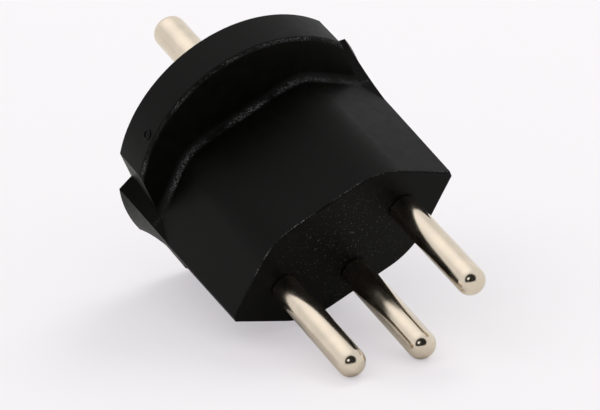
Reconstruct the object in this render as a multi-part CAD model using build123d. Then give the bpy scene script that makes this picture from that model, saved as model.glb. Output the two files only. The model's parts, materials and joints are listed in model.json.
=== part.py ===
from build123d import *
import math
import os

# A three-pin adapter plug: a six-sided plug end with three round pins at the front,
# and a round socket face with two holes and one raised earth pin at the rear.
# It is first built in the plug's own axes, in mm: the front face lies in y = 0, the
# front pins point along -y, the rear face is at +y, and z = 0 holds the two line pins.
# At the end it is turned to lie as it comes to rest, on two pin tips and the flange.

# Front end
FACE_HALF_WIDTH = 17.5      # from the middle to the left and right edges of the face
FACE_FLAT_HALF = 8.5        # half of the flat stretch along the top and the bottom
FACE_HALF_HEIGHT = 8.5
SIDE_EDGE_HALF = 0.45       # the two side edges are narrow bands, not knife edges
FACE_CORNER_R = 10.0        # rounding of the four top and bottom corners at the face
ROOT_CORNER_R = 6.0         # the same corners at the flange
DRAFT_WIDTH = 0.5           # growth of the half width from the face to the flange
DRAFT_HEIGHT = 0.9
FACE_EDGE_R = 0.25

# Flange and socket face
REAR_Y = 27.8
FLANGE_FRONT_Y = 21.8
FLANGE_R = 19.2
FLANGE_EDGE_R = 0.5
FLAT_X = 16.4               # side flats of the flange
FLAT_CUT = 20.0             # width of the block that cuts each flat
WING_HALF_HEIGHT = 4.4      # the flats stop at the two side wings
WING_START_Y = 17.5
WING_START_DEPTH = 0.05     # the wing starts this far under the side edge
WING_MIDDLE_RISE = 0.2      # how far it stands out of the side edge at the flange's front
WING_MIDDLE_HALF = 1.7      # and half its height there
WING_INNER_X = 13.0         # its root, inside the body
WING_SPREAD = 0.35          # it widens towards its root by this much for each mm
WING_LEAST_BULGE = 0.02
FILLET_R = 1.2              # between the flange and the body

# Pins
LINE_SPACING = 19.0
PIN_R = 2.0
PIN_LENGTH = 19.0
PIN_NECK = 0.2              # the neck in the wall is thinner than the pin by this
PIN_EDGE_R = 1.7
EARTH_DROP = 5.0
REAR_PIN_R = 2.4
REAR_PIN_LENGTH = 15.6
REAR_PIN_RISE = 10.0
REAR_PIN_EDGE_R = 1.4

# Inside of the housing
FRONT_WALL = 4.0
SIDE_WALL = 2.2
SIDE_INSET = 1.4            # for each mm of wall, the side edges of the section move in by this
FLAT_INSET = 0.4            # and the ends of its flat stretches by this
CLEARANCE = 0.1
BORE_GAP = 0.03
BORE_OVERRUN = 6.0          # the pin bores run on as shallow troughs in the cavity's floor
COVER_R = 15.4
COVER_THICKNESS = 3.0
COVER_EDGE = 0.3
SOCKET_HOLE_R = 2.7
SOCKET_MOUTH = 0.4          # bevel around each socket hole
COLLAR_R = 3.0
COLLAR_LENGTH = 1.0
STUB_R = 1.4
SLEEVE_R = 3.2
SLEEVE_BORE_R = 2.45
SLEEVE_SLIT = 0.9
SLEEVE_FLOOR = 1.2
STRIP_THICKNESS = 1.0
STRIP_WIDTH = 6.0
STRIP_UPPER_END = 3.0       # how far the strip runs past the rear pin's hole
STRIP_LOWER_END = 2.0       # and past the front pin's hole
STRIP_CORNER_R = 2.4
POCKET_HALF_WIDTH = 3.4
BOSS_R = 2.4
SCREW_R = 1.2
SCREW_HEAD_R = 2.1
SCREW_HEAD_DEPTH = 1.3
SCREW_REACH = 10.0          # length of the shank in front of the cover
SCREW_HOLE_DEPTH = 11.0
SLOT_WIDTH = 0.6
SLOT_DEPTH = 0.6
FAR = 60.0                  # larger than the plug, for cuts that run right through
NEAR = 0.001                # two places closer than this are the same
AROUND = 0.1                # the same for the middle of an edge or its reach

COVER_FRONT_Y = REAR_Y - COVER_THICKNESS
STRIP_REAR_Y = COVER_FRONT_Y - CLEARANCE
STRIP_FRONT_Y = STRIP_REAR_Y - STRIP_THICKNESS
LINE_X = LINE_SPACING / 2


def along(y):
    """A sketch plane across the plug at y, whose local x is the plug's x."""
    return Plane(origin=(0, y, 0), x_dir=(1, 0, 0), z_dir=(0, 1, 0))


def rod(radius, y_from, y_to, x=0.0, z=0.0):
    """A round bar along the plug, from one y to another."""
    middle = (y_from + y_to) / 2
    bar = Cylinder(radius, y_to - y_from, rotation=(90, 0, 0))
    return Pos(x, middle, z) * bar


def block(x_size, z_size, y_from, y_to, x=0.0, z=0.0):
    """A rectangular bar along the plug, from one y to another."""
    middle = (y_from + y_to) / 2
    return Pos(x, middle, z) * Box(x_size, y_to - y_from, z_size)


def six_sided(y, grow_x, grow_z, corner_r, inset=0.0):
    """The six-sided section with narrow side edges, as a face at y."""
    half = FACE_HALF_WIDTH + grow_x - inset * SIDE_INSET
    flat = FACE_FLAT_HALF + grow_x - inset * FLAT_INSET
    height = FACE_HALF_HEIGHT + grow_z - inset
    edge = SIDE_EDGE_HALF
    points = [
        (half, edge), (flat, height), (-flat, height), (-half, edge),
        (-half, -edge), (-flat, -height), (flat, -height), (half, -edge),
    ]
    outline = make_face(Polyline(*points, close=True))
    top_and_bottom = [v for v in outline.vertices() if abs(v.Y) > edge * 2]
    rounded = fillet(top_and_bottom, corner_r)
    return along(y) * rounded


def edges_at(shape, y):
    """The edges that lie in the plane at y, each with its box."""
    boxed = [(edge, edge.bounding_box()) for edge in shape.edges()]
    return [(edge, box) for edge, box in boxed if abs(box.min.Y - y) < NEAR and abs(box.max.Y - y) < NEAR]


def rounded_at(shape, y, radius):
    """Round the edges that lie in the plane at y."""
    return fillet([edge for edge, box in edges_at(shape, y)], radius)


def bevelled_at(shape, y, size):
    """Bevel the edges that lie in the plane at y."""
    return chamfer([edge for edge, box in edges_at(shape, y)], size)


def plug_body():
    """The six-sided front end, which grows a little towards the flange."""
    front = six_sided(0.0, 0.0, 0.0, FACE_CORNER_R)
    rear = six_sided(FLANGE_FRONT_Y + 1.0, DRAFT_WIDTH, DRAFT_HEIGHT, ROOT_CORNER_R)
    return loft([front, rear])


def side_wing(side):
    """A wing that spreads from the side edge of the body to the full flange."""
    start_x = FACE_HALF_WIDTH + DRAFT_WIDTH * WING_START_Y / FLANGE_FRONT_Y
    tip_x = math.sqrt(FLANGE_R ** 2 - WING_HALF_HEIGHT ** 2)
    steps = (
        (WING_START_Y, start_x - WING_START_DEPTH, SIDE_EDGE_HALF),
        (FLANGE_FRONT_Y, start_x + WING_MIDDLE_RISE, WING_MIDDLE_HALF),
        (REAR_Y, tip_x, WING_HALF_HEIGHT),
    )
    sections = []
    for y, outer, half_height in steps:
        share = (y - WING_START_Y) / (REAR_Y - WING_START_Y)
        bulge = max(WING_LEAST_BULGE, (outer - tip_x + FLANGE_R - tip_x) * share)
        root = half_height + (outer - WING_INNER_X) * WING_SPREAD
        lines = [
            Line((WING_INNER_X, -root), (outer, -half_height)),
            ThreePointArc((outer, -half_height), (outer + bulge, 0), (outer, half_height)),
            Line((outer, half_height), (WING_INNER_X, root)),
            Line((WING_INNER_X, root), (WING_INNER_X, -root)),
        ]
        sections.append(along(y) * make_face(Wire(lines)))
    wing = loft(sections, ruled=False)
    return wing if side > 0 else mirror(wing, about=Plane.YZ)


def flange_and_body():
    """The six-sided body and the round flange, with a rounded inner corner between them."""
    blank = plug_body() + rod(FAR / 2, FLANGE_FRONT_Y, REAR_Y)
    inner = [edge for edge, box in edges_at(blank, FLANGE_FRONT_Y) if box.max.X < FLANGE_R]
    blank = fillet(inner, FILLET_R)
    for side in (-1, 1):
        x = side * (FLAT_X + FLAT_CUT / 2)
        blank -= block(FLAT_CUT, FAR + FLAT_CUT / 2, FLANGE_FRONT_Y - FILLET_R, REAR_Y + 1, x=x)
    blank = blank & rod(FLANGE_R, -1, REAR_Y)
    rims = []
    for edge, box in edges_at(blank, FLANGE_FRONT_Y):
        if max(abs(box.min.Z), abs(box.max.Z)) > FLANGE_R - AROUND:
            rims.append(edge)
    return fillet(rims, FLANGE_EDGE_R)


def cavity():
    """The hollow of the housing: six-sided, then round where the cover sits."""
    front = six_sided(FRONT_WALL, 0.0, 0.0, FACE_CORNER_R - SIDE_WALL, SIDE_WALL)
    rear = six_sided(COVER_FRONT_Y, DRAFT_WIDTH, DRAFT_HEIGHT, ROOT_CORNER_R - SIDE_WALL, SIDE_WALL)
    hollow = loft([front, rear])
    seat = rod(COVER_R + CLEARANCE, COVER_FRONT_Y, REAR_Y + 1)
    top = REAR_PIN_RISE + STRIP_UPPER_END + CLEARANCE * 2
    pocket = block(POCKET_HALF_WIDTH * 2, top, STRIP_FRONT_Y - CLEARANCE, COVER_FRONT_Y + 1, z=top / 2)
    return hollow + seat + pocket


def screw_boss():
    """The post in the middle of the cavity that takes the cover screw."""
    return rod(BOSS_R, FRONT_WALL - 1, STRIP_FRONT_Y)


def housing():
    """The moulded black housing, one piece, hollow and open at the rear."""
    shell = rounded_at(flange_and_body(), 0.0, FACE_EDGE_R)
    shell = shell + side_wing(1) + side_wing(-1)
    shell = shell - cavity() + screw_boss()
    for x, z in ((LINE_X, 0), (-LINE_X, 0), (0, -EARTH_DROP)):
        shell -= rod(PIN_R - PIN_NECK + BORE_GAP, -1, FRONT_WALL + BORE_OVERRUN, x, z)
    shell -= rod(SCREW_R + BORE_GAP, COVER_FRONT_Y - SCREW_HOLE_DEPTH, REAR_Y)
    return shell


def outer_pin(x, z):
    """The pin outside the face, with a round tip, and its neck inside the wall."""
    shaft = rod(PIN_R, -PIN_LENGTH, 0, x, z)
    shaft = rounded_at(shaft, -PIN_LENGTH, PIN_EDGE_R)
    shaft = bevelled_at(shaft, 0, PIN_NECK)
    return shaft + rod(PIN_R - PIN_NECK, -PIN_NECK, FRONT_WALL, x, z)


def line_pin(x):
    """A round pin with a collar behind the front wall and a stub for its sleeve."""
    shaft = outer_pin(x, 0)
    collar = rod(COLLAR_R, FRONT_WALL, FRONT_WALL + COLLAR_LENGTH, x)
    stub = rod(STUB_R, FRONT_WALL + COLLAR_LENGTH, FRONT_WALL + COLLAR_LENGTH + SLEEVE_FLOOR, x)
    return shaft + collar + stub


def front_earth_pin():
    """The middle pin, whose thin stub runs back to the earth strip."""
    shaft = outer_pin(0, -EARTH_DROP)
    stub = rod(STUB_R, FRONT_WALL, STRIP_REAR_Y, 0, -EARTH_DROP)
    return shaft + stub


def rear_earth_pin():
    """The pin that stands out of the socket face, riveted to the earth strip."""
    tip = REAR_Y + REAR_PIN_LENGTH
    shaft = rod(REAR_PIN_R, REAR_Y, tip, 0, REAR_PIN_RISE)
    shaft = rounded_at(shaft, tip, REAR_PIN_EDGE_R)
    shaft = bevelled_at(shaft, REAR_Y, PIN_NECK)
    shaft += rod(REAR_PIN_R - PIN_NECK, STRIP_REAR_Y, REAR_Y + PIN_NECK, 0, REAR_PIN_RISE)
    stub = rod(STUB_R, STRIP_FRONT_Y, STRIP_REAR_Y, 0, REAR_PIN_RISE)
    return shaft + stub


def sleeve(x):
    """A slit spring sleeve that grips the pin of the plug pushed in from behind."""
    start = FRONT_WALL + COLLAR_LENGTH
    tube = rod(SLEEVE_R, start, COVER_FRONT_Y, x)
    tube -= rod(SLEEVE_BORE_R, start + SLEEVE_FLOOR, REAR_Y, x)
    tube -= rod(STUB_R + BORE_GAP, start - 1, REAR_Y, x)
    slit = block(SLEEVE_SLIT, SLEEVE_R + 1, start + SLEEVE_FLOOR + 2, REAR_Y, x, (SLEEVE_R + 1) / 2)
    return tube - slit


def earth_strip():
    """The flat strip that joins the front earth pin to the rear one."""
    low = -EARTH_DROP - STRIP_LOWER_END
    high = REAR_PIN_RISE + STRIP_UPPER_END
    plate = block(STRIP_WIDTH, high - low, STRIP_FRONT_Y, STRIP_REAR_Y, z=(high + low) / 2)
    uprights = [edge for edge in plate.edges() if edge.length < STRIP_THICKNESS + NEAR]
    plate = fillet(uprights, STRIP_CORNER_R)
    plate -= rod(STUB_R + BORE_GAP, 0, REAR_Y, 0, -EARTH_DROP)
    plate -= rod(STUB_R + BORE_GAP, 0, REAR_Y, 0, REAR_PIN_RISE)
    plate -= rod(SCREW_R + CLEARANCE, 0, REAR_Y)
    return plate


def rear_cover():
    """The round socket face, held by one screw in its middle."""
    disc = rod(COVER_R, COVER_FRONT_Y, REAR_Y)
    disc = rounded_at(disc, REAR_Y, COVER_EDGE)
    for x in (LINE_X, -LINE_X):
        disc -= rod(SOCKET_HOLE_R, 0, FAR, x)
    disc = chamfer_mouths(disc)
    disc -= rod(REAR_PIN_R - PIN_NECK + BORE_GAP, 0, FAR, 0, REAR_PIN_RISE)
    disc -= rod(SCREW_R + CLEARANCE, 0, FAR)
    disc -= rod(SCREW_HEAD_R + CLEARANCE, REAR_Y - SCREW_HEAD_DEPTH - CLEARANCE, FAR)
    return disc


def chamfer_mouths(disc):
    """Bevel the rear edge of each socket hole."""
    rear_edges = edges_at(disc, REAR_Y)
    mouths = [edge for edge, box in rear_edges if abs(abs(box.center().X) - LINE_X) < AROUND]
    return chamfer(mouths, SOCKET_MOUTH)


def cover_screw():
    """The slotted screw through the cover and the strip into the boss."""
    seat = REAR_Y - SCREW_HEAD_DEPTH - CLEARANCE
    head = rod(SCREW_HEAD_R, seat, seat + SCREW_HEAD_DEPTH)
    shank = rod(SCREW_R, COVER_FRONT_Y - SCREW_REACH, seat)
    slot = block(FAR, SLOT_WIDTH, seat + SCREW_HEAD_DEPTH - SLOT_DEPTH, FAR)
    return head + shank - slot


def rest_turn():
    """The turn that lays the plug on the left pin, the earth pin and the flange."""
    roll = math.degrees(math.atan2(EARTH_DROP, LINE_X))
    depth = EARTH_DROP * math.cos(math.radians(roll))
    tip_drop = depth + PIN_R - PIN_EDGE_R
    tip_y = -PIN_LENGTH + PIN_EDGE_R
    rim_drop = FLANGE_R - FLANGE_EDGE_R
    rim_y = FLANGE_FRONT_Y + FLANGE_EDGE_R
    span = math.hypot(rim_drop - tip_drop, rim_y - tip_y)
    lean = math.atan2(rim_drop - tip_drop, rim_y - tip_y)
    lean += math.asin((FLANGE_EDGE_R - PIN_EDGE_R) / span)
    return Rotation(math.degrees(lean), 0, 0) * Rotation(0, -roll, 0)


def all_parts():
    """Every piece of the plug, by name, in the plug's own axes."""
    return {
        "housing": housing(),
        "rear_cover": rear_cover(),
        "live_pin": line_pin(LINE_X),
        "neutral_pin": line_pin(-LINE_X),
        "front_earth_pin": front_earth_pin(),
        "rear_earth_pin": rear_earth_pin(),
        "live_sleeve": sleeve(LINE_X),
        "neutral_sleeve": sleeve(-LINE_X),
        "earth_strip": earth_strip(),
        "cover_screw": cover_screw(),
    }


def lay_down(pieces):
    """Turn all pieces to the rest pose and set the origin under their middle."""
    turned = {name: rest_turn() * piece for name, piece in pieces.items()}
    boxes = [piece.bounding_box(optimal=True) for piece in turned.values()]
    middle_x = (min(box.min.X for box in boxes) + max(box.max.X for box in boxes)) / 2
    middle_y = (min(box.min.Y for box in boxes) + max(box.max.Y for box in boxes)) / 2
    floor_z = min(box.min.Z for box in boxes)
    shift = Pos(-middle_x, -middle_y, -floor_z)
    return {name: shift * piece for name, piece in turned.items()}, shift * rest_turn()


laid, place = lay_down(all_parts())
os.makedirs("parts", exist_ok=True)
for name, piece in laid.items():
    piece.label = name
    export_step(piece, f"parts/{name}.step")
    print(name, len(piece.solids()), round(piece.volume, 1), piece.is_valid)

print("placement of the plug's axes:", place)
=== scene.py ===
import json
import math

import bmesh
import bpy
from mathutils import Matrix, Vector


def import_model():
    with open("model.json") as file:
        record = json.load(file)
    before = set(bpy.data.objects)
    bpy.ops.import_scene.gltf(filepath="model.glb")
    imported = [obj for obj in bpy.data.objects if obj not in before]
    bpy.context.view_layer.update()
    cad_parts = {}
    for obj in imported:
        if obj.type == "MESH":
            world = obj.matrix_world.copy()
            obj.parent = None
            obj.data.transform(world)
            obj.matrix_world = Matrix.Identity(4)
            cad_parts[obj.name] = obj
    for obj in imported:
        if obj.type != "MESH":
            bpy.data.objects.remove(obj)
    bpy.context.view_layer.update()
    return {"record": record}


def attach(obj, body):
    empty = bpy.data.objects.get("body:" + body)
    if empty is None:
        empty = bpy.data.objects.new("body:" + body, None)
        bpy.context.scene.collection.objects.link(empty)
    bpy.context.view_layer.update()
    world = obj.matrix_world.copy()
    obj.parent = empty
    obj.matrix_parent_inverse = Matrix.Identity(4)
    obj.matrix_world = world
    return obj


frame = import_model()

MM = 0.001                      # sizes and places are in metres

# The plug's own axes, from its pins: across, lengthwise from the front face to the rear,
# and upward.
PIN_MOUNT_DEPTH = 8.75 * MM     # the line pins' mounts lie this far in front of the face
mounts = {mount["name"]: mount for mount in frame["record"]["mounts"]}
live_place = Vector(mounts["live_pin"]["pos_m"])
neutral_place = Vector(mounts["neutral_pin"]["pos_m"])
LENGTHWISE = -Vector(mounts["live_pin"]["axis"]).normalized()
ACROSS = (live_place - neutral_place).normalized()
UPWARD = ACROSS.cross(LENGTHWISE)
FACE_MIDDLE = (live_place + neutral_place) / 2 + LENGTHWISE * PIN_MOUNT_DEPTH
FLANGE_FRONT = 21.8 * MM
FLANGE_RADIUS = 19.2 * MM

# The camera stands at the photograph's viewing angle. The photograph itself is
# stretched sideways, and the render isn't.
CAMERA_PLACE = Vector((-0.25006, -0.43039, 0.19210))
CAMERA_FORWARD = Vector((0.47190, 0.81516, -0.33591))
CAMERA_RIGHT = Vector((0.85969, -0.50994, -0.02976))
FOCAL_PIXELS = 3750.9           # in pixels of a frame of this width
FRAME_WIDTH_PIXELS = 600
ZOOM = 1.05                     # the plug fills a little more of the frame
SENSOR_MM = 36.0
CAMERA_REACH = 20.0

# Colours, as linear values. Plastic and nickel have a plain one, which the shader holds,
# and the two that noise goes between.
BLACK_PLASTIC = (0.0022, 0.0022, 0.0017, 1)
WARM_PLASTIC = (0.0027, 0.0026, 0.0019, 1)
COOL_PLASTIC = (0.0015, 0.0015, 0.0013, 1)
# Pale grey for the painted highlight lines along the plastic's edges, and for its pale specks
HIGHLIGHT_AND_SPECK_GREY = (0.13, 0.13, 0.135, 1)
NICKEL = (0.72, 0.62, 0.50, 1)
DULL_NICKEL = (0.66, 0.575, 0.465, 1)
CLEAR_NICKEL = (0.76, 0.66, 0.53, 1)
BRASS = (0.78, 0.58, 0.28, 1)
STEEL = (0.62, 0.62, 0.61, 1)
FLOOR = (0.90, 0.892, 0.90, 1)

# Surfaces. A noise has a scale, in cells to a metre, and a detail. A bump has a strength
# and a height. An uneven roughness has the two values that noise goes between.
NOISE_LOW = 0.3                 # a range is spread between these two values of a noise
NOISE_HIGH = 0.7
PLASTIC_ROUGHNESS = 0.42
PLASTIC_UNEVEN = (0.40, 0.48)
PLASTIC_SPECULAR = 0.085
PLASTIC_MOTTLE = (700.0, 4.0)
PLASTIC_GRAIN = (4200.0, 3.0)
PLASTIC_BUMP = (0.18, 0.08 * MM)
NICKEL_ROUGHNESS = 0.16
NICKEL_UNEVEN = (0.12, 0.20)
NICKEL_CLOUD = (300.0, 3.0)
NICKEL_GRAIN = (2400.0, 2.0)
NICKEL_BUMP = (0.06, 0.03 * MM)
BRASS_ROUGHNESS = 0.28
STEEL_ROUGHNESS = 0.32
INNER_SMOOTHER = 0.06           # how far an inner metal's roughness goes below its own
INNER_ROUGHER = 0.08            # and above it
INNER_CLOUD = (500.0, 3.0)
INNER_GRAIN = (3000.0, 2.0)
INNER_BUMP = (0.1, 0.04 * MM)

# Where the plastic shows pale: painted highlights, as grainy lines where light glints along
# its edges, and a few pale specks on the front face. Each line round the plug has a depth
# behind the front face, half its width, and a soft border.
ROOT_HIGHLIGHT = (FLANGE_FRONT - 0.55 * MM, 0.10 * MM, 0.30 * MM)
RIM_HIGHLIGHT = (FLANGE_FRONT + 0.13 * MM, 0.04 * MM, 0.14 * MM)
FACE_EDGE_HIGHLIGHT = (0.15 * MM, 0.05 * MM, 0.06 * MM)
FACE_PLANE = (0.0, 0.05 * MM, 0.02 * MM)
SPECKED_MIDDLE = (0.0, 3.0 * MM, 9.0 * MM)  # the same three, as distances from the middle line
ROOT_LIMIT = 17.9 * MM          # the root lies inside this distance from the middle line
RIM_LIMIT = 18.6 * MM           # and the rim outside this one
# The grain and patches that break up the painted highlight lines
HIGHLIGHT_GRAIN = (6500.0, 1.0)
HIGHLIGHT_GRAIN_RANGE = (-1.2, 1.3)
HIGHLIGHT_PATCHES = (160.0, 2.0)
HIGHLIGHT_PATCH_RANGE = (-0.6, 1.2)
SPECKS = (4200.0, 1.0)
SPECK_RANGE = (-14.0, 0.6)

# The gate mark on the rim
GATE_ANGLE = 41.4               # degrees from the top, towards the neutral pin's side
GATE_DEPTH = 23.5 * MM
GATE_RADIUS = 0.62 * MM
GATE_THICKNESS = 0.16 * MM
GATE_SUNK = 0.02 * MM
GATE_STEPS = 40
GATE_SECTION_STEPS = 10

# The floor
FLOOR_SIZE = 6.0
FLOOR_ROUGHNESS = 0.6
FLOOR_SPECULAR = 0.1
FLOOR_GLOW = 0.45               # the glow's share of what the camera sees
GLOW_COLOUR = (0.985, 0.945, 1.0, 1)

# The room. What the camera and shiny surfaces see is near-white, with these patches.
# Each has a direction, an inner and an outer half angle in degrees, and what it adds.
ROOM_LIGHT = (1.0, 0.99, 0.98, 1)
ROOM_STRENGTH = 0.72
BACKDROP = (0.92, 0.92, 0.93, 1)
PATCHES = (
    ((-0.42, -0.80, 0.40), 40, 48, -0.98),      # the dark room behind the camera
    ((-0.20, 0.42, 0.886), 6, 36, 0.42),        # a soft light overhead
    ((-0.66, -0.65, 0.52), 8, 10, 1.6),         # a window in the dark room
)

# The lamps: name, place, side in metres, watts and colour
LAMP_TARGET = (0, 0, 0.01)
LAMPS = (
    ("key", (0.95, 0.55, 1.25), 0.75, 8.5, (0.98, 1.0, 0.94)),
    ("fill", (-0.8, 0.3, 1.2), 0.90, 2.5, (1, 1, 1)),
)


def new_material(name, colour, roughness, metallic=0.0):
    """A material with its shader's fixed values set on the shader itself."""
    material = bpy.data.materials.new(name)
    material.use_nodes = True
    shader = material.node_tree.nodes["Principled BSDF"]
    shader.inputs["Base Color"].default_value = colour
    shader.inputs["Roughness"].default_value = roughness
    shader.inputs["Metallic"].default_value = metallic
    return material, material.node_tree, shader


def object_noise(tree, scale, detail):
    """Noise that is fixed to the object."""
    place = tree.nodes.new("ShaderNodeTexCoord")
    noise = tree.nodes.new("ShaderNodeTexNoise")
    noise.inputs["Scale"].default_value = scale
    noise.inputs["Detail"].default_value = detail
    tree.links.new(place.outputs["Object"], noise.inputs["Vector"])
    return noise.outputs["Fac"]


def two_colours(tree, noise, first, second):
    """A colour that goes from one to another with noise."""
    node = tree.nodes.new("ShaderNodeValToRGB")
    stops = ((NOISE_LOW, first), (NOISE_HIGH, second))
    for element, (place, colour) in zip(node.color_ramp.elements, stops):
        element.position = place
        element.color = colour
    tree.links.new(noise, node.inputs["Fac"])
    return node.outputs["Color"]


def map_range(tree, source, given, wanted=(0.0, 1.0)):
    """Spread a source from one range over another, and no further."""
    node = tree.nodes.new("ShaderNodeMapRange")
    node.inputs["From Min"].default_value = given[0]
    node.inputs["From Max"].default_value = given[1]
    node.inputs["To Min"].default_value = wanted[0]
    node.inputs["To Max"].default_value = wanted[1]
    tree.links.new(source, node.inputs["Value"])
    return node.outputs["Result"]


def spread(tree, noise, wanted):
    """Spread noise over a range."""
    return map_range(tree, noise, (NOISE_LOW, NOISE_HIGH), wanted)


def bump(tree, shader, height, strength, distance):
    """Bump on a shader from a height value."""
    node = tree.nodes.new("ShaderNodeBump")
    node.inputs["Strength"].default_value = strength
    node.inputs["Distance"].default_value = distance
    tree.links.new(height, node.inputs["Height"])
    tree.links.new(node.outputs["Normal"], shader.inputs["Normal"])


def math_node(tree, operation, first, second=0.0):
    """A maths node over two sources or values."""
    node = tree.nodes.new("ShaderNodeMath")
    node.operation = operation
    for index, source in enumerate((first, second)):
        if isinstance(source, (int, float)):
            node.inputs[index].default_value = source
        else:
            tree.links.new(source, node.inputs[index])
    return node.outputs[0]


def vector_node(tree, operation, result, source, fixed=(0, 0, 0)):
    """The named result of a vector maths node over a source and a fixed vector."""
    node = tree.nodes.new("ShaderNodeVectorMath")
    node.operation = operation
    tree.links.new(source, node.inputs[0])
    node.inputs[1].default_value = fixed
    return node.outputs[result]


def depth_and_radius(tree):
    """How far a point lies behind the front face, and how far from the plug's middle line."""
    place = tree.nodes.new("ShaderNodeTexCoord")
    offset = vector_node(tree, "SUBTRACT", "Vector", place.outputs["Object"], FACE_MIDDLE)
    depth = vector_node(tree, "DOT_PRODUCT", "Value", offset, LENGTHWISE)
    sideways = vector_node(tree, "CROSS_PRODUCT", "Vector", offset, LENGTHWISE)
    return depth, vector_node(tree, "LENGTH", "Value", sideways)


def band(tree, value, middle, half, soft):
    """One where a value lies within half of a middle, with a soft border."""
    off = math_node(tree, "ABSOLUTE", math_node(tree, "SUBTRACT", value, middle))
    return map_range(tree, off, (half + soft, half))


def painted_highlight_lines(tree, depth, radius):
    """Painted highlights: patchy, grainy pale lines along the flange's root, the rim's front edge and
    the front face's edge.
    """
    inside = math_node(tree, "LESS_THAN", radius, ROOT_LIMIT)
    outside = math_node(tree, "GREATER_THAN", radius, RIM_LIMIT)
    root = math_node(tree, "MULTIPLY", band(tree, depth, *ROOT_HIGHLIGHT), inside)
    rim = math_node(tree, "MULTIPLY", band(tree, depth, *RIM_HIGHLIGHT), outside)
    highlight_lines = math_node(tree, "MAXIMUM", root, rim)
    highlight_lines = math_node(tree, "MAXIMUM", highlight_lines, band(tree, depth, *FACE_EDGE_HIGHLIGHT))
    patches = spread(tree, object_noise(tree, *HIGHLIGHT_PATCHES), HIGHLIGHT_PATCH_RANGE)
    grain = spread(tree, object_noise(tree, *HIGHLIGHT_GRAIN), HIGHLIGHT_GRAIN_RANGE)
    return math_node(tree, "MULTIPLY", math_node(tree, "MULTIPLY", highlight_lines, patches), grain)


def pale_specks(tree, depth, radius):
    """A few fine specks on the middle of the front face."""
    face = band(tree, depth, *FACE_PLANE)
    middle = band(tree, radius, *SPECKED_MIDDLE)
    specks = spread(tree, object_noise(tree, *SPECKS), SPECK_RANGE)
    return math_node(tree, "MULTIPLY", math_node(tree, "MULTIPLY", specks, middle), face)


def black_plastic():
    """Moulded black plastic: a satin grain, a faint warm mottle, painted grainy highlights at its edges
    and a few pale specks on its face.
    """
    material, tree, shader = new_material("black_plastic_moulded", BLACK_PLASTIC, PLASTIC_ROUGHNESS)
    shader.inputs["Specular IOR Level"].default_value = PLASTIC_SPECULAR
    depth, radius = depth_and_radius(tree)
    # pale marks: the painted highlight lines at the edges and the pale specks of the front face
    pale = math_node(tree, "MAXIMUM", painted_highlight_lines(tree, depth, radius), pale_specks(tree, depth, radius))
    mottle = object_noise(tree, *PLASTIC_MOTTLE)
    colour = tree.nodes.new("ShaderNodeMixRGB")
    colour.inputs["Color2"].default_value = HIGHLIGHT_AND_SPECK_GREY
    tree.links.new(pale, colour.inputs["Fac"])
    tree.links.new(two_colours(tree, mottle, COOL_PLASTIC, WARM_PLASTIC), colour.inputs["Color1"])
    tree.links.new(colour.outputs["Color"], shader.inputs["Base Color"])
    tree.links.new(spread(tree, mottle, PLASTIC_UNEVEN), shader.inputs["Roughness"])
    bump(tree, shader, object_noise(tree, *PLASTIC_GRAIN), *PLASTIC_BUMP)
    return material


def nickel():
    """Bright nickel plating, faintly clouded and with a fine grain."""
    material, tree, shader = new_material("nickel_plated", NICKEL, NICKEL_ROUGHNESS, 1.0)
    cloud = object_noise(tree, *NICKEL_CLOUD)
    tree.links.new(two_colours(tree, cloud, DULL_NICKEL, CLEAR_NICKEL), shader.inputs["Base Color"])
    tree.links.new(spread(tree, cloud, NICKEL_UNEVEN), shader.inputs["Roughness"])
    bump(tree, shader, object_noise(tree, *NICKEL_GRAIN), *NICKEL_BUMP)
    return material


def plain_metal(name, colour, roughness):
    """Metal of the inner pieces, a little uneven."""
    material, tree, shader = new_material(name, colour, roughness, 1.0)
    cloud = object_noise(tree, *INNER_CLOUD)
    uneven = spread(tree, cloud, (roughness - INNER_SMOOTHER, roughness + INNER_ROUGHER))
    tree.links.new(uneven, shader.inputs["Roughness"])
    bump(tree, shader, object_noise(tree, *INNER_GRAIN), *INNER_BUMP)
    return material


def dress(material, names):
    """Give CAD nodes a material."""
    for name in names:
        for slot in bpy.data.objects[name].material_slots:
            slot.material = material


def full_circle(steps):
    """Evenly spaced angles round a circle."""
    return [2 * math.pi * step / steps for step in range(steps)]


def gate_mark(material):
    """The small ring that the mould's gate left on the flange's rim."""
    around = math.radians(GATE_ANGLE)
    outward = UPWARD * math.cos(around) - ACROSS * math.sin(around)
    sideways = outward.cross(LENGTHWISE)
    middle = FACE_MIDDLE + LENGTHWISE * GATE_DEPTH + outward * (FLANGE_RADIUS - GATE_SUNK)
    mesh = bmesh.new()
    sections = []
    for turn in full_circle(GATE_STEPS):
        ray = LENGTHWISE * math.cos(turn) + sideways * math.sin(turn)
        section = []
        for bend in full_circle(GATE_SECTION_STEPS):
            reach = ray * (GATE_RADIUS + GATE_THICKNESS * math.cos(bend))
            rise = outward * (GATE_THICKNESS * math.sin(bend))
            section.append(mesh.verts.new(middle + reach + rise))
        sections.append(section)
    for here, after in zip(sections, sections[1:] + sections[:1]):
        for step in range(GATE_SECTION_STEPS):
            mesh.faces.new((here[step - 1], here[step], after[step], after[step - 1]))
    bmesh.ops.recalc_face_normals(mesh, faces=mesh.faces)
    data = bpy.data.meshes.new("gate_mark")
    mesh.to_mesh(data)
    mesh.free()
    for face in data.polygons:
        face.use_smooth = True
    data.materials.append(material)
    piece = bpy.data.objects.new("gate_mark", data)
    bpy.context.scene.collection.objects.link(piece)
    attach(piece, "root")


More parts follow.
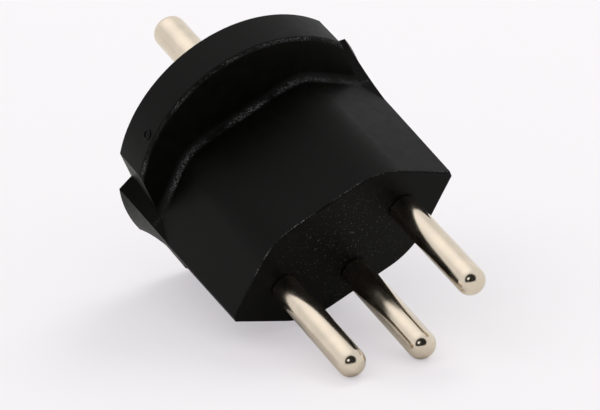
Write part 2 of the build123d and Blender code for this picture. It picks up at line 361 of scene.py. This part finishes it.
def floor():
    """A wide pale floor, which keeps a soft shadow on a near-white ground."""
    bpy.ops.mesh.primitive_plane_add(size=FLOOR_SIZE, location=(0, 0, 0))
    sheet = bpy.context.object
    sheet.name = "floor"
    material, tree, shader = new_material("pale_floor", FLOOR, FLOOR_ROUGHNESS)
    shader.inputs["Specular IOR Level"].default_value = FLOOR_SPECULAR
    glow = tree.nodes.new("ShaderNodeEmission")
    glow.inputs["Color"].default_value = GLOW_COLOUR
    path = tree.nodes.new("ShaderNodeLightPath")
    share = math_node(tree, "MULTIPLY", path.outputs["Is Camera Ray"], FLOOR_GLOW)
    mix = tree.nodes.new("ShaderNodeMixShader")
    tree.links.new(share, mix.inputs[0])
    tree.links.new(shader.outputs[0], mix.inputs[1])
    tree.links.new(glow.outputs[0], mix.inputs[2])
    tree.links.new(mix.outputs[0], tree.nodes["Material Output"].inputs["Surface"])
    sheet.data.materials.append(material)


def facing(tree, direction, inner, outer):
    """One inside a cone round a direction of the room, and none outside it."""
    place = tree.nodes.new("ShaderNodeTexCoord")
    wanted = Vector(direction).normalized()
    dot = vector_node(tree, "DOT_PRODUCT", "Value", place.outputs["Generated"], wanted)
    return map_range(tree, dot, (math.cos(math.radians(outer)), math.cos(math.radians(inner))))


def world():
    """Even light, with a near-white background for the camera, gloss and glass."""
    space = bpy.data.worlds.new("studio")
    bpy.context.scene.world = space
    space.use_nodes = True
    tree = space.node_tree
    tree.nodes.clear()
    path = tree.nodes.new("ShaderNodeLightPath")
    seen = math_node(tree, "MAXIMUM", path.outputs["Is Camera Ray"], path.outputs["Is Transmission Ray"])
    seen = math_node(tree, "MAXIMUM", seen, path.outputs["Is Glossy Ray"])
    light = tree.nodes.new("ShaderNodeBackground")
    light.inputs["Color"].default_value = ROOM_LIGHT
    light.inputs["Strength"].default_value = ROOM_STRENGTH
    backdrop = tree.nodes.new("ShaderNodeBackground")
    backdrop.inputs["Color"].default_value = BACKDROP
    strength = 1.0
    for direction, inner, outer, gain in PATCHES:
        patch = math_node(tree, "MULTIPLY", facing(tree, direction, inner, outer), gain)
        strength = math_node(tree, "ADD", strength, patch)
    tree.links.new(strength, backdrop.inputs["Strength"])
    mix = tree.nodes.new("ShaderNodeMixShader")
    out = tree.nodes.new("ShaderNodeOutputWorld")
    tree.links.new(seen, mix.inputs[0])
    tree.links.new(light.outputs[0], mix.inputs[1])
    tree.links.new(backdrop.outputs[0], mix.inputs[2])
    tree.links.new(mix.outputs[0], out.inputs["Surface"])


def lamp(name, place, side, watts, colour):
    """A square soft box that lights the object and doesn't mirror in the metal."""
    data = bpy.data.lights.new(name, "AREA")
    data.size = side
    data.energy = watts
    data.color = colour
    box = bpy.data.objects.new(name, data)
    box.location = place
    box.visible_glossy = False
    box.rotation_euler = (Vector(LAMP_TARGET) - Vector(place)).to_track_quat("-Z", "Y").to_euler()
    bpy.context.scene.collection.objects.link(box)


def camera():
    """The camera, with a long lens."""
    data = bpy.data.cameras.new("camera")
    data.sensor_width = SENSOR_MM
    data.lens = FOCAL_PIXELS * ZOOM * SENSOR_MM / FRAME_WIDTH_PIXELS
    data.clip_end = CAMERA_REACH
    eye = bpy.data.objects.new("camera", data)
    right = CAMERA_RIGHT.normalized()
    back = -CAMERA_FORWARD.normalized()
    up = back.cross(right).normalized()
    axes = Matrix((right, up, back)).transposed().to_4x4()
    eye.matrix_world = Matrix.Translation(CAMERA_PLACE) @ axes
    bpy.context.scene.collection.objects.link(eye)
    bpy.context.scene.camera = eye


plastic = black_plastic()
dress(plastic, ["housing", "rear_cover"])
dress(nickel(), ["live_pin", "neutral_pin", "front_earth_pin", "rear_earth_pin"])
brass = plain_metal("brass_inside", BRASS, BRASS_ROUGHNESS)
dress(brass, ["live_sleeve", "neutral_sleeve", "earth_strip"])
dress(plain_metal("steel_screw", STEEL, STEEL_ROUGHNESS), ["cover_screw"])
gate_mark(plastic)
floor()
world()
for each in LAMPS:
    lamp(*each)
camera()
bpy.context.scene.view_settings.view_transform = "Standard"
